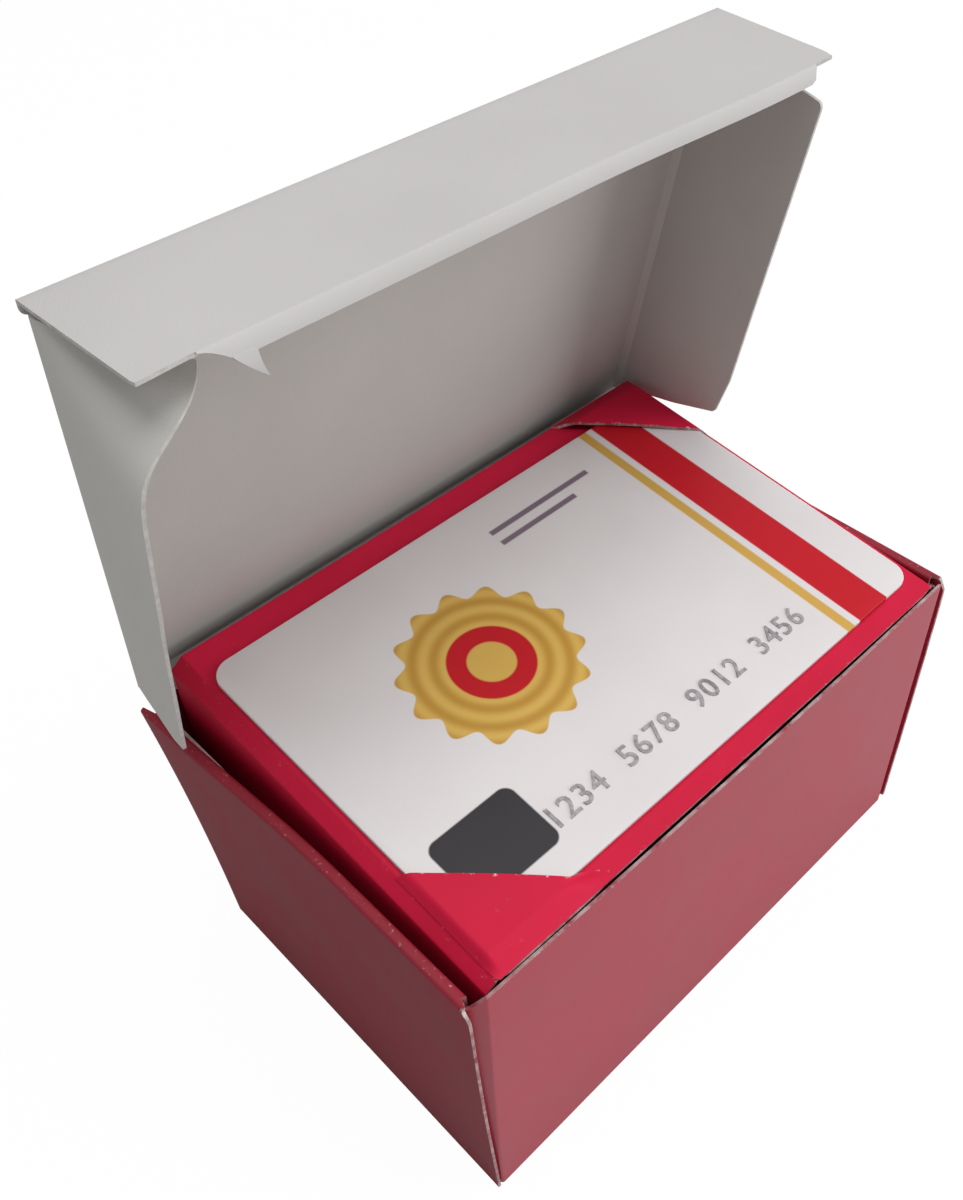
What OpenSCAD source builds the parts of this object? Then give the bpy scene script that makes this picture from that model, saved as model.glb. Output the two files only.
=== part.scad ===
// Folding carton for a gift card: an open tray with a lid hinged on its back
// wall, and inside it a raised platform that holds the card by two corners.
// Frame: X to the right, the front faces -Y, Z up, in millimetres. The origin
// is under the middle of the tray, on the surface that it stands on. The lid
// is drawn as it stands in the photograph, leaning a little over the tray.

/* [Board] */
// thickness of the folding board
board = 0.45; // [0.35:0.05:0.5]
// width of the blunted strips along the double creases
crease_strip = 1.1; // [0.8:0.1:1.3]

/* [Tray] */
// height of the tray's walls
wall_height = 54.5; // [45:0.5:70]
// thickness of a rolled-over side wall, from face to face
double_wall = 1.7; // [1.5:0.1:1.7]
// height of the rolled strip along the top of a side wall
roll_height = 1.2; // [1:0.1:1.6]
// outer radius of the rolled strip
roll_radius = 0.6; // [0.5:0.05:0.75]
// width of the blunted upright corners
corner_strip = 1.8; // [1.4:0.1:1.8]
// how far a corner tab reaches back inside its side wall
tab_length = 21; // [14:1:26]
// how far the inner side walls stop short of the corners
inner_wall_setback = 2.1; // [2:0.1:3]

/* [Platform] */
// gap between the platform and the side walls, where the lid's ears go
ear_gap = 1.4; // [1.3:0.05:1.5]
// gap between the platform and the front wall
platform_front_gap = 0.35; // [0.25:0.05:0.5]
// gap between the platform and the back wall
platform_back_gap = 1.9; // [1.8:0.1:2.6]
// how far the platform stands up from level, about its front edge, while the
// lid is open; the closing lid presses it level
platform_tilt = 6.5; // [0:0.5:7]
// flat board left between the card's ends and the platform's side creases
end_margin = 0.8; // [0.7:0.1:6]
// distance from the platform's front edge to the card
front_margin = 3; // [2.8:0.1:6]
// distance from the card to the platform's back edge
back_margin = 5; // [5:0.1:9]
// how far the platform's top stands above the wall tops
platform_rise = 0.35; // [0.2:0.05:0.4]
// how far the roof of a card corner lies above the platform
pocket_rise = 1.3; // [1.25:0.05:1.4]

/* [Card] */
// long side of the gift card
card_length = 85.6; // [80:0.1:90]
// short side of the gift card
card_width = 53.98; // [48:0.02:60]
// thickness of the gift card
card_thickness = 0.76; // [0.7:0.02:0.8]
// radius of the gift card's corners
card_corner = 3.18; // [2.8:0.02:3.5]
// room round a card corner inside its slit
card_play = 0.4; // [0.35:0.05:0.4]
// depth of the front left platform corner that the slit cuts off, along an edge
front_slit_reach = 13.6; // [11:0.1:15]
// the same for the back right corner
back_slit_reach = 12.1; // [10:0.1:14]
// open end of the back slit beyond the card
slit_tail = 3.6; // [2:0.1:4]
// run of the slope that the card raises beside its corners
pocket_slope = 1.9; // [1.5:0.1:2]

/* [Lid] */
// how far the lid is open, from flat on the tray
lid_open_angle = 76; // [70:0.5:100]
// height of the lid's panel over its hinge crease when closed
lid_rise = 2.5; // [2.4:0.1:2.8]
// how far the front flap stands in front of the tray when closed
lid_overhang = 3.4; // [3.4:0.1:4.5]
// height of the front flap
front_flap_depth = 18.6; // [16:0.1:22]
// how far the front flap is folded down from the lid's panel
flap_fold_angle = 79; // [60:1:90]
// depth of the two side ears
ear_depth = 17.2; // [12:0.1:20]
// where the ears start, up from the hinge
ear_start = 3.4; // [3.4:0.1:6]
// how far an ear's lower edge rises from its crease to its corner
ear_taper = 6.2; // [4:0.1:8]
// size of the cut corner at an ear's lower edge
ear_cut_corner = 2.9; // [2:0.1:4]
// radius of an ear's upper corner
ear_round_corner = 3.2; // [2:0.1:5]
// angle of the tuck lip from the plane of the front flap
lip_angle = 50; // [40:1:50]
// width of the tuck lip
lip_width = 1.7; // [1.4:0.1:2.2]
// flat shoulder left of the tuck lip
left_shoulder = 9.4; // [8:0.1:12]
// flat shoulder right of the tuck lip
right_shoulder = 4.3; // [3:0.1:8]
// where the lip's pointed tail begins, from the lip's left end
tail_start = 6.6; // [5:0.1:9]
// how far the tail's point hangs below the lip
tail_length = 2.4; // [1.5:0.1:2.4]

/* [Hidden] */
$fn = 48;
half_board = board / 2;
mitre = tan(22.5);
crease_gap = 0.12;
hinge_gap = 0.3;
tab_inset = board + (double_wall - 3 * board) / 2;
corner_run = corner_strip - tab_inset;
platform_crease_x = card_length / 2 + end_margin;
platform_half = platform_crease_x + crease_strip + half_board;
inner_face_x = platform_half + ear_gap;
half_width = inner_face_x + double_wall;
platform_depth = front_margin + card_width + back_margin;
tray_depth = platform_depth + platform_front_gap + platform_back_gap + 2 * board;
half_depth = tray_depth / 2;
wall_clearance = 0.3;
inner_wall_end = half_depth - inner_wall_setback;
platform_front = -half_depth + board + platform_front_gap;
platform_back = platform_front + platform_depth;
platform_top = wall_height + platform_rise;
platform_foot = board + 0.15;
// how far back the feet of the platform's sides may reach, so that they clear
// the back wall while the platform stands up
foot_reach = (half_depth - board - wall_clearance - platform_front
    - (platform_top - platform_foot) * sin(platform_tilt)) / cos(platform_tilt);
foot_back = platform_front + min(foot_reach, platform_depth);
card_lift = 0.05;
card_bottom = platform_top + card_lift;
card_y = platform_front + front_margin + card_width / 2;
pocket_ceiling = card_bottom + card_thickness + 0.09;
front_slit_sum = -(card_length + card_width) / 2 + front_slit_reach + card_y;
back_slit_sum = (card_length + card_width) / 2 - back_slit_reach + card_y;
hinge_y = half_depth - half_board;
hinge_z = wall_height + half_board + hinge_gap;
lid_length = hinge_y + half_depth + lid_overhang + board;
flap_axis_y = -(lid_length - half_board);
ear_x = inner_face_x - 0.35 - half_board;
ear_crease_z = lid_rise - crease_strip - 0.1;
ear_reach = hinge_y + half_depth - board - 0.2;
ear_end = ear_reach - 0.1;
ear_tip_end = sqrt(pow(ear_reach, 2) - pow(ear_depth - ear_crease_z, 2)) - 0.1;
lip_left = -half_width + left_shoulder;
lip_right = half_width - right_shoulder;

tray_color = [0.69, 0.12, 0.24];
lid_color = [0.74, 0.73, 0.71];
card_color = [0.86, 0.85, 0.84];

// Puts a part drawn on the closed lid where the open lid carries it.
module on_open_lid() {
    translate([0, hinge_y, hinge_z])
        rotate([-lid_open_angle, 0, 0])
            children();
}

// Puts a part drawn hanging from its crease, at the origin, on the front flap.
module on_front_flap() {
    on_open_lid()
        translate([0, flap_axis_y, lid_rise])
            rotate([flap_fold_angle - 90, 0, 0])
                children();
}

// Tips a part of the platform, drawn level, up about the platform's front edge.
module on_platform() {
    translate([0, platform_front, platform_top])
        rotate([platform_tilt, 0, 0])
            translate([0, -platform_front, -platform_top])
                children();
}

// Extrudes a profile drawn in X and Z along the depth, from front to back.
module along_depth(front, back) {
    translate([0, back, 0])
        rotate([90, 0, 0])
            linear_extrude(height = back - front)
                children();
}

// Extrudes a profile drawn in Y and Z along the width.
module along_width(left, right) {
    translate([left, 0, 0])
        rotate([90, 0, 90])
            linear_extrude(height = right - left)
                children();
}

module bottom_panel() {
    color(tray_color)
        translate([-half_width + board, -half_depth + board, 0])
            cube([2 * (half_width - board), tray_depth - 2 * board, board]);
}

// Outline, seen from above, of a wall whose ends are mitred at the corner
// creases.
module mitred_wall_outline() {
    crease_x = half_width - corner_strip;
    polygon([
        [-crease_x, -half_depth],
        [crease_x, -half_depth],
        [crease_x - board * mitre, -half_depth + board],
        [-crease_x + board * mitre, -half_depth + board]
    ]);
}

module front_wall() {
    color(tray_color)
        linear_extrude(height = wall_height)
            mitred_wall_outline();
}

module back_wall() {
    color(tray_color)
        mirror([0, 1, 0])
            linear_extrude(height = wall_height)
                mitred_wall_outline();
}

// Outline, seen from above, of the blunted corner strip and the tab behind it
// at the front left corner.
module corner_tab_outline() {
    crease_x = half_width - corner_strip;
    tab_x = half_width - tab_inset;
    tab_y = -half_depth + corner_run;
    end_y = -half_depth + tab_length;
    polygon([
        [-crease_x, -half_depth],
        [-tab_x, tab_y],
        [-tab_x, end_y],
        [-tab_x + board, end_y],
        [-tab_x + board, tab_y + board * mitre],
        [-crease_x + board * mitre, -half_depth + board]
    ]);
}

module corner_tab() {
    tab_top = wall_height - board - 0.15;
    translate([0, 0, board])
        linear_extrude(height = tab_top - board)
            corner_tab_outline();
    // the strip alone goes down to the fold at the bottom
    intersection() {
        linear_extrude(height = board)
            corner_tab_outline();
        translate([-half_width, -half_depth, 0])
            cube([2 * half_width, board, board]);
    }
}

module front_left_corner_tab() {
    color(tray_color)
        corner_tab();
}

module front_right_corner_tab() {
    color(tray_color)
        mirror([1, 0, 0])
            corner_tab();
}

module back_left_corner_tab() {
    color(tray_color)
        mirror([0, 1, 0])
            corner_tab();
}

module back_right_corner_tab() {
    color(tray_color)
        mirror([1, 0, 0])
            mirror([0, 1, 0])
                corner_tab();
}

module outer_wall() {
    translate([-half_width, -half_depth, 0])
        cube([board, tray_depth, wall_height - roll_height]);
}

module left_outer_wall() {
    color(tray_color)
        outer_wall();
}

module right_outer_wall() {
    color(tray_color)
        mirror([1, 0, 0])
            outer_wall();
}

module inner_wall() {
    translate([-inner_face_x - board, -inner_wall_end, board])
        cube([board, 2 * inner_wall_end, wall_height - roll_height - board]);
}

module left_inner_wall() {
    color(tray_color)
        inner_wall();
}

module right_inner_wall() {
    color(tray_color)
        mirror([1, 0, 0])
            inner_wall();
}

// Upright rectangle with its two upper corners rounded.
module round_topped(left, right, bottom, top, radius) {
    intersection() {
        translate([left, bottom])
            square([right - left, top - bottom]);
        union() {
            translate([left, bottom])
                square([right - left, top - radius - bottom]);
            translate([left + radius, bottom])
                square([right - left - 2 * radius, top - bottom]);
            for (x = [left + radius, right - radius])
                translate([x, top - radius])
                    circle(r = radius);
        }
    }
}

module rolled_strip_profile() {
    difference() {
        round_topped(
            -half_width, -inner_face_x,
            wall_height - roll_height, wall_height, roll_radius
        );
        round_topped(
            -half_width + board, -inner_face_x - board,
            wall_height - roll_height - 1, wall_height - board,
            roll_radius - board
        );
    }
}

module rolled_strip() {
    strip_end = half_depth - 0.1;
    along_depth(-inner_wall_end, inner_wall_end)
        rolled_strip_profile();
    // past the inner wall only the outer half of the roll goes on
    intersection() {
        along_depth(-strip_end, strip_end)
            rolled_strip_profile();
        difference() {
            translate([-half_width, -half_depth, wall_height - roll_height])
                cube([double_wall, tray_depth, roll_height]);
            translate([-inner_face_x - board, -half_depth, 0])
                cube([board, tray_depth, wall_height - board]);
        }
    }
}

module left_wall_top() {
    color(tray_color)
        rolled_strip();
}

module right_wall_top() {
    color(tray_color)
        mirror([1, 0, 0])
            rolled_strip();
}

// Triangle behind a slit: its square corner, and the line x + y that the slit
// follows. Side is -1 at the front left and 1 at the back right.
module slit_triangle(corner_x, corner_y, slit_sum) {
    polygon([
        [corner_x, corner_y],
        [corner_x, slit_sum - corner_x],
        [slit_sum - corner_y, corner_y]
    ]);
}

// Roof over one card corner, shaped by the card that pushes it up: it slopes
// from the platform at base_y to its full height at roof_y.
module pocket_roof(corner_x, base_y, roof_y, slit_sum) {
    inner_y = slit_sum - corner_x - sign(base_y);
    roof_z = platform_top + pocket_rise;
    intersection() {
        translate([0, 0, platform_top - board])
            linear_extrude(height = board + pocket_rise)
                slit_triangle(corner_x, base_y, slit_sum);
        along_width(-half_width, half_width)
            polygon([
                [base_y, platform_top - board - 1],
                [base_y, platform_top],
                [roof_y, roof_z],
                [inner_y, roof_z],
                [inner_y, platform_top - board - 1]
            ]);
    }
}

module pocket_space(corner_x, corner_y, slit_sum) {
    translate([0, 0, platform_top - 2])
        linear_extrude(height = pocket_ceiling - platform_top + 2)
            slit_triangle(corner_x, corner_y, slit_sum);
}

module platform_top_panel() {
    card_x = card_length / 2 + card_play;
    corner_x = card_x + 0.3;
    front_y = card_y - card_width / 2 - card_play - 0.1;
    back_y = card_y + card_width / 2 + card_play + 0.1;
    front_roof = front_y - 0.4;
    back_roof = back_y + 0.4;
    mitre_x = half_board * mitre;
    color(tray_color)
        on_platform()
            difference() {
                union() {
                    along_depth(platform_front, platform_back)
                        polygon([
                            [-platform_crease_x - mitre_x, platform_top],
                            [platform_crease_x + mitre_x, platform_top],
                            [platform_crease_x - mitre_x, platform_top - board],
                            [-platform_crease_x + mitre_x, platform_top - board]
                        ]);
                    pocket_roof(-corner_x, front_roof - pocket_slope, front_roof, front_slit_sum);
                    pocket_roof(corner_x, back_roof + pocket_slope, back_roof, back_slit_sum);
                }
                pocket_space(-card_x, front_y, front_slit_sum);
                pocket_space(card_x, back_y, back_slit_sum);
                // the back slit's open end
                translate([back_slit_sum - back_y, back_y, platform_top - 2])
                    rotate([0, 0, 135])
                        translate([-0.5, -0.2, 0])
                            cube([slit_tail + 0.5, 0.4, 4]);
            }
}

// A side of the platform: the blunted crease strip and the leg under it, whose
// back edge runs in towards its foot.
module platform_side() {
    leg_x = platform_half - half_board;
    crease_z = platform_top - half_board;
    fold_z = crease_z - crease_strip;
    on_platform()
        intersection() {
            along_depth(platform_front, platform_back)
                polygon([
                    [-platform_crease_x - half_board * mitre, crease_z + half_board],
                    [-leg_x - half_board, fold_z + half_board * mitre],
                    [-leg_x - half_board, platform_foot],
                    [-leg_x + half_board, platform_foot],
                    [-leg_x + half_board, fold_z - half_board * mitre],
                    [-platform_crease_x + half_board * mitre, crease_z - half_board]
                ]);
            along_width(-half_width, 0)
                polygon([
                    [platform_front - 1, 0],
                    [foot_back, 0],
                    [foot_back, platform_foot],
                    [platform_back, fold_z - 1],
                    [platform_back, platform_top + 1],
                    [platform_front - 1, platform_top + 1]
                ]);
        }
}

module platform_left_side() {
    color(tray_color)
        platform_side();
}

module platform_right_side() {
    color(tray_color)
        mirror([1, 0, 0])
            platform_side();
}

module gift_card() {
    straight_x = card_length - 2 * card_corner;
    straight_y = card_width - 2 * card_corner;
    color(card_color)
        on_platform()
            translate([0, card_y, card_bottom])
                linear_extrude(height = card_thickness) {
                    square([card_length, straight_y], center = true);
                    square([straight_x, card_width], center = true);
                    for (x = [-straight_x / 2, straight_x / 2])
                        for (y = [-straight_y / 2, straight_y / 2])
                            translate([x, y])
                                circle(r = card_corner);
                }
}

// Lid panel with its blunted side creases, drawn closed.
module lid_panel_profile() {
    crease_x = ear_x - (lid_rise - ear_crease_z);
    cut = (half_board + crease_gap) * sqrt(0.5);
    side = half_board * sqrt(0.5);
    outer = lid_rise + half_board;
    inner = lid_rise - half_board;
    polygon([
        [-crease_x - half_board * mitre, outer],
        [crease_x + half_board * mitre, outer],
        [ear_x - cut + side, ear_crease_z + cut + side],
        [ear_x - cut - side, ear_crease_z + cut - side],
        [crease_x - half_board * mitre, inner],
        [-crease_x + half_board * mitre, inner],
        [-ear_x + cut + side, ear_crease_z + cut - side],
        [-ear_x + cut - side, ear_crease_z + cut + side]
    ]);
}

// The lid turns on two creases with a narrow strip between them: the lower one
// lies on the back wall, the upper one along the lid's panel. Drawn closed.
module hinge_strip_profile() {
    side = half_board * sqrt(0.5);
    end = lid_rise - (half_board + crease_gap) * sqrt(0.5);
    circle(r = half_board);
    polygon([
        [side, side],
        [-end + side, end + side],
        [-end - side, end - side],
        [-side, -side]
    ]);
}

module lid_hinge_strip() {
    crease_x = ear_x - (lid_rise - ear_crease_z);
    color(lid_color)
        on_open_lid()
            along_width(-crease_x, crease_x)
                hinge_strip_profile();
}

module lid_panel() {
    crease_x = ear_x - (lid_rise - ear_crease_z);
    panel_end = lid_length - board - crease_gap;
    widen = ear_end - 1;
    shoulder_slope = 0.75 * (half_width - crease_x);
    color(lid_color)
        on_open_lid() {
            translate([0, -lid_rise, lid_rise])
                along_width(-crease_x, crease_x)
                    circle(r = half_board);
            along_depth(-widen, -ear_start)
                lid_panel_profile();
            translate([0, 0, lid_rise - half_board])
                linear_extrude(height = board)
                    polygon([
                        [-crease_x, -lid_rise],
                        [-crease_x, -widen],
                        [-half_width, -widen - shoulder_slope],
                        [-half_width, -panel_end],
                        [half_width, -panel_end],
                        [half_width, -widen - shoulder_slope],
                        [crease_x, -widen],
                        [crease_x, -lid_rise]
                    ]);
        }
}

module lid_front_flap() {
    slot_left = lip_left - 0.15;
    slot_right = lip_right + 0.15;
    slot_z = -front_flap_depth + half_board + crease_gap;
    color(lid_color)
        on_front_flap() {
            along_width(-half_width, half_width)
                circle(r = half_board);
            translate([0, half_board, 0])
                rotate([90, 0, 0])
                    linear_extrude(height = board)
                        polygon([
                            [-half_width, 0],
                            [half_width, 0],
                            [half_width, -front_flap_depth],
                            [slot_right, -front_flap_depth],
                            [slot_right, slot_z],
                            [slot_left, slot_z],
                            [slot_left, -front_flap_depth],
                            [-half_width, -front_flap_depth]
                        ]);
        }
}

// The lip is a narrow turned edge that ends on the left in a pointed tail.
module tuck_lip_outline() {
    polygon([
        [lip_left, 0],
        [lip_right, 0],
        [lip_right - lip_width / 2, -lip_width],
        [lip_left + tail_start, -lip_width],
        [lip_left + 0.74 * tail_start, -lip_width - 0.08 * tail_length],
        [lip_left + 0.65 * tail_start, -lip_width - 0.25 * tail_length],
        [lip_left + 0.7 * tail_start, -lip_width - 0.55 * tail_length],
        [lip_left + 0.88 * tail_start, -lip_width - tail_length],
        [lip_left + 0.52 * tail_start, -lip_width - 0.62 * tail_length],
        [lip_left + 0.23 * tail_start, -lip_width - 0.08 * tail_length]
    ]);
}

module lid_tuck_lip() {
    color(lid_color)
        on_front_flap()
            translate([0, 0, -front_flap_depth]) {
                along_width(lip_left, lip_right)
                    circle(r = half_board);
                rotate([lip_angle, 0, 0])
                    translate([0, half_board, 0])
                        rotate([90, 0, 0])
                            linear_extrude(height = board)
                                tuck_lip_outline();
            }
}

// Flat shape of an ear: along the lid from the hinge, and down from the crease.
module ear_outline() {
    rounded_x = ear_tip_end - ear_round_corner + 0.3;
    rounded_y = ear_depth - ear_round_corner;
    polygon([
        [ear_start, 0],
        [ear_start + ear_taper, ear_depth - ear_cut_corner],
        [ear_start + ear_taper + ear_cut_corner, ear_depth],
        [rounded_x, ear_depth],
        [rounded_x, rounded_y],
        [rounded_x + ear_round_corner, rounded_y],
        [ear_end - 1, 0.8],
        [ear_end - 1.5, 0]
    ]);
    translate([rounded_x, rounded_y])
        circle(r = ear_round_corner);
}

module ear() {
    on_open_lid()
        translate([-ear_x, 0, ear_crease_z]) {
            along_depth(-ear_end + 1.5, -ear_start)
                circle(r = half_board);
            translate([half_board, 0, 0])
                rotate([0, 90, 180])
                    linear_extrude(height = board)
                        rotate([0, 0, 90])
                            mirror([0, 1, 0])
                                ear_outline();
        }
}

module lid_left_ear() {
    color(lid_color)
        ear();
}

module lid_right_ear() {
    color(lid_color)
        mirror([1, 0, 0])
            ear();
}

bottom_panel();
front_wall();
back_wall();
left_outer_wall();
right_outer_wall();
left_wall_top();
right_wall_top();
left_inner_wall();
right_inner_wall();
front_left_corner_tab();
front_right_corner_tab();
back_left_corner_tab();
back_right_corner_tab();
platform_top_panel();
platform_left_side();
platform_right_side();
gift_card();
lid_hinge_strip();
lid_panel();
lid_front_flap();
lid_tuck_lip();
lid_left_ear();
lid_right_ear();
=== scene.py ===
# %% [markdown]
# # A folding carton for a gift card
# The object is folded from printed board: a crimson tray, an off-white lid
# that stands open, and a crimson platform that holds a card by two corners.
# Board is thin and nearly flat, so its looks come from small things: soft
# bends at the creases, white cut edges, slight bows and rubbed corners.
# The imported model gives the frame: every piece below is placed in it.

# %% Load the frame
import math

import bpy
import numpy as np
from mathutils import Matrix, Vector


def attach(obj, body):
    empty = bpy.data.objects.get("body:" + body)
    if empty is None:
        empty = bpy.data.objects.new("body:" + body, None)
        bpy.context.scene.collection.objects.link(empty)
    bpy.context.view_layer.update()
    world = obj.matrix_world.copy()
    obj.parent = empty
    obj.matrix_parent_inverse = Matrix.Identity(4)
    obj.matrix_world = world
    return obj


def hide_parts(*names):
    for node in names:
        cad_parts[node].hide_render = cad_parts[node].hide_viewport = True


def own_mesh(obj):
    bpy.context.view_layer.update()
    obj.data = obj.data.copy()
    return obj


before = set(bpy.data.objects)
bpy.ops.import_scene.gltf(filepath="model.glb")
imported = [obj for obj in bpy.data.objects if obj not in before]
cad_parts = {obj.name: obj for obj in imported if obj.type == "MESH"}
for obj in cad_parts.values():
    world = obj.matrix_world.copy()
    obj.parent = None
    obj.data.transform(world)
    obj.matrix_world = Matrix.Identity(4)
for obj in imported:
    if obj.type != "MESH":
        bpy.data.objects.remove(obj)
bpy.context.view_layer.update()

# %% [markdown]
# ## Sizes
# The model is drawn in millimetres here and scaled to metres when a mesh is
# made. These are the carton's own sizes: half width and depth of the tray, its
# height, the board's thickness, and the angles at which lid, flap, lip and
# platform stand. One function tips points of the closed lid open, another
# tips points of the level platform up about its front edge.

# %% Sizes and placing
BOARD = 0.45
HALF_WIDE, HALF_DEEP, HIGH = 48.025, 32.565, 54.5
INNER_FACE = 46.325
LID_OPEN, LID_RISE, LID_LONG = 76.0, 2.5, 68.53
FLAP_FOLD, FLAP_DEEP, LIP_FOLD = 79.0, 18.6, 50.0
EAR_Z, EAR_DEEP = 1.3, 17.2
TOP_Z, FRONT_Y = 54.85, -31.765
PLATFORM_TIP, PLATFORM_SHIFT = 6.5, 0.8
HINGE_Y, HINGE_Z = 32.34, 55.025
print("tray:", 2 * HALF_WIDE, "x", 2 * HALF_DEEP, "x", HIGH, "mm; lid open by", LID_OPEN, "degrees")


def turn_x(points, degrees, y=0.0, z=0.0):
    """Turns points about a line along X: y' = y cos a - z sin a, z' = y sin a + z cos a."""
    a = math.radians(degrees)
    p = np.array(points, float)
    dy, dz = p[..., 1] - y, p[..., 2] - z
    p[..., 1] = y + dy * math.cos(a) - dz * math.sin(a)
    p[..., 2] = z + dy * math.sin(a) + dz * math.cos(a)
    return p


def on_lid(points):
    """Closed-lid points, measured from the hinge crease, moved to the open lid."""
    return turn_x(points, -LID_OPEN) + np.array([0, HINGE_Y, HINGE_Z])


def on_flap(points):
    """Points of a flap that hangs straight down from its crease, folded and put on the open lid."""
    p = turn_x(points, FLAP_FOLD - 90) + np.array([0, -LID_LONG, LID_RISE])
    return on_lid(p)


def on_platform(points):
    """Points of the level platform, tipped up about its front edge and moved towards the right wall."""
    return turn_x(points, PLATFORM_TIP, FRONT_Y, TOP_Z) + np.array([PLATFORM_SHIFT, 0, 0])


def smooth(t):
    """Smoothstep: 0 below 0, 1 above 1, t^2 (3 - 2t) between."""
    t = np.clip(t, 0, 1)
    return t * t * (3 - 2 * t)


# %% [markdown]
# ## Short calls for nodes
# All finishes are nodes on Object coordinates, so they need no pictures. A
# small helper holds a material's node tree and offers one call for each kind
# of node that the finishes use: noise, a clamped range, a sum, a mix.

# %% Node helpers
class Nodes:
    """A node tree with short calls; each value may be a socket, a number or an RGB tuple."""

    def __init__(self, tree):
        self.nodes, self.links = tree.nodes, tree.links

    def feed(self, socket, value):
        """Links a socket to another, or sets its number or colour."""
        if isinstance(value, tuple):
            socket.default_value = (*value, 1)
        elif isinstance(value, (int, float)):
            socket.default_value = value
        else:
            self.links.new(value, socket)

    def object_place(self):
        """Object coordinates, which stay with the piece when it moves."""
        return self.nodes.new("ShaderNodeTexCoord").outputs["Object"]

    def noise(self, where, scale, detail=4.0, rough=0.55):
        """Cloud noise of the given scale, per metre."""
        node = self.nodes.new("ShaderNodeTexNoise")
        for key, value in (("Scale", scale), ("Detail", detail), ("Roughness", rough)):
            node.inputs[key].default_value = value
        self.links.new(where, node.inputs["Vector"])
        return node.outputs["Fac"]

    def spread(self, value, low, high, out_low=0.0, out_high=1.0):
        """Maps low..high to out_low..out_high, clamped."""
        node = self.nodes.new("ShaderNodeMapRange")
        ends = (("From Min", low), ("From Max", high), ("To Min", out_low), ("To Max", out_high))
        for key, end in ends:
            node.inputs[key].default_value = end
        self.links.new(value, node.inputs["Value"])
        return node.outputs["Result"]

    def math(self, kind, *values):
        """One Math node of one or two values."""
        node = self.nodes.new("ShaderNodeMath")
        node.operation = kind
        for socket, value in zip(node.inputs, values):
            self.feed(socket, value)
        return node.outputs[0]

    def mix(self, share, a, b):
        """Mixes two colours by share."""
        node = self.nodes.new("ShaderNodeMix")
        node.data_type = "RGBA"
        for socket, value in ((node.inputs[0], share), (node.inputs[6], a), (node.inputs[7], b)):
            self.feed(socket, value)
        return node.outputs[2]

    def bump(self, height, strength, distance, shader):
        """Raises the shader's surface by a height map."""
        node = self.nodes.new("ShaderNodeBump")
        node.inputs["Strength"].default_value = strength
        node.inputs["Distance"].default_value = distance
        self.links.new(height, node.inputs["Height"])
        self.links.new(node.outputs["Normal"], shader.inputs["Normal"])


def new_material(name):
    """An empty node material with its Principled shader."""
    material = bpy.data.materials.new(name)
    material.use_nodes = True
    shader = next(node for node in material.node_tree.nodes if node.type == "BSDF_PRINCIPLED")
    return material, Nodes(material.node_tree), shader


# %% [markdown]
# ## Finishes of the board
# Coated board is a smooth ink film over paper: a faint cloudy tone, a soft
# gloss, very fine grain in the bump. Where the board is rubbed, along
# creases and corners, the pale core shows through: each mesh carries a
# point attribute called wear, and noise breaks its border up into fibres.
# The platform and the inside are duller than the outside, and cut edges have
# finishes of their own, because ink and core both show there. Three finishes
# are copies of one board that carry painted light: a brighter crimson on the
# platform (painted light), a darker crimson on the side walls (painted shade)
# and a lighter off-white on the left ear's outer face (painted light).

# %% Board finishes
CORE = (0.60, 0.575, 0.55)
FIBRE, TORN, SPECK = 2600, 1500, 900


def board_finish(name, light, dark, rough, coat, grain, cloud=60.0, gleam=0.5):
    """Two tones mixed by cloud noise, fibre grain in the bump, pale core where worn."""
    material, tree, shader = new_material(name)
    where = tree.object_place()
    cloudy = tree.spread(tree.noise(where, cloud, 3), 0.3, 0.7)
    speck = tree.spread(tree.noise(where, SPECK, 3), 0.68, 0.78, 0.0, 0.05)
    tone = tree.mix(speck, tree.mix(cloudy, dark, light), CORE)

    worn = tree.nodes.new("ShaderNodeAttribute")
    worn.attribute_name = "wear"
    ragged = tree.spread(tree.noise(where, TORN, 6, 0.7), 0.3, 0.7, -0.35, 0.35)
    bare = tree.spread(tree.math("ADD", worn.outputs["Fac"], ragged), 0.55, 0.85)
    raised = tree.math("MULTIPLY", bare, 0.8)
    tree.feed(shader.inputs["Base Color"], tree.mix(bare, tone, CORE))
    rough_map = tree.spread(cloudy, 0, 1, rough - 0.04, rough + 0.05)
    tree.feed(shader.inputs["Roughness"], tree.math("MAXIMUM", rough_map, raised))
    shader.inputs["Specular IOR Level"].default_value = gleam
    shader.inputs["Coat Weight"].default_value = coat
    shader.inputs["Coat Roughness"].default_value = 0.32
    tree.bump(tree.math("ADD", tree.noise(where, FIBRE, 5, 0.6), raised), grain, 0.00006, shader)
    return material


crimson = board_finish("crimson_coated_board", (0.47, 0.020, 0.055), (0.42, 0.016, 0.045), 0.44, 0.45, 0.25)
# Side walls: a darker copy of the crimson board, painted shade for the side faces that turn away from the
# light.
crimson_side_painted_shade = board_finish("crimson_side_painted_shade_board", (0.44, 0.010, 0.040), (0.37, 0.008, 0.032), 0.44, 0.2, 0.25)
# Platform: a copy of the crimson that is brighter, as painted light on the platform top. Its lower gloss is a
# real difference.
crimson_platform_painted_light = board_finish(
    "crimson_platform_painted_light_board", (0.63, 0.008, 0.050), (0.57, 0.006, 0.040), 0.60, 0.0, 0.25, gleam=0.22)
crimson_inner = board_finish(
    "crimson_inner_board", (0.30, 0.008, 0.026), (0.25, 0.007, 0.022), 0.60, 0.0, 0.3)
off_white = board_finish(
    "off_white_board", (0.535, 0.515, 0.495), (0.495, 0.475, 0.455), 0.78, 0.0, 0.45, 35.0)
off_white_flap = board_finish(
    "off_white_flap_board", (0.545, 0.53, 0.52), (0.515, 0.50, 0.49), 0.74, 0.0, 0.4, 35.0)
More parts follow.
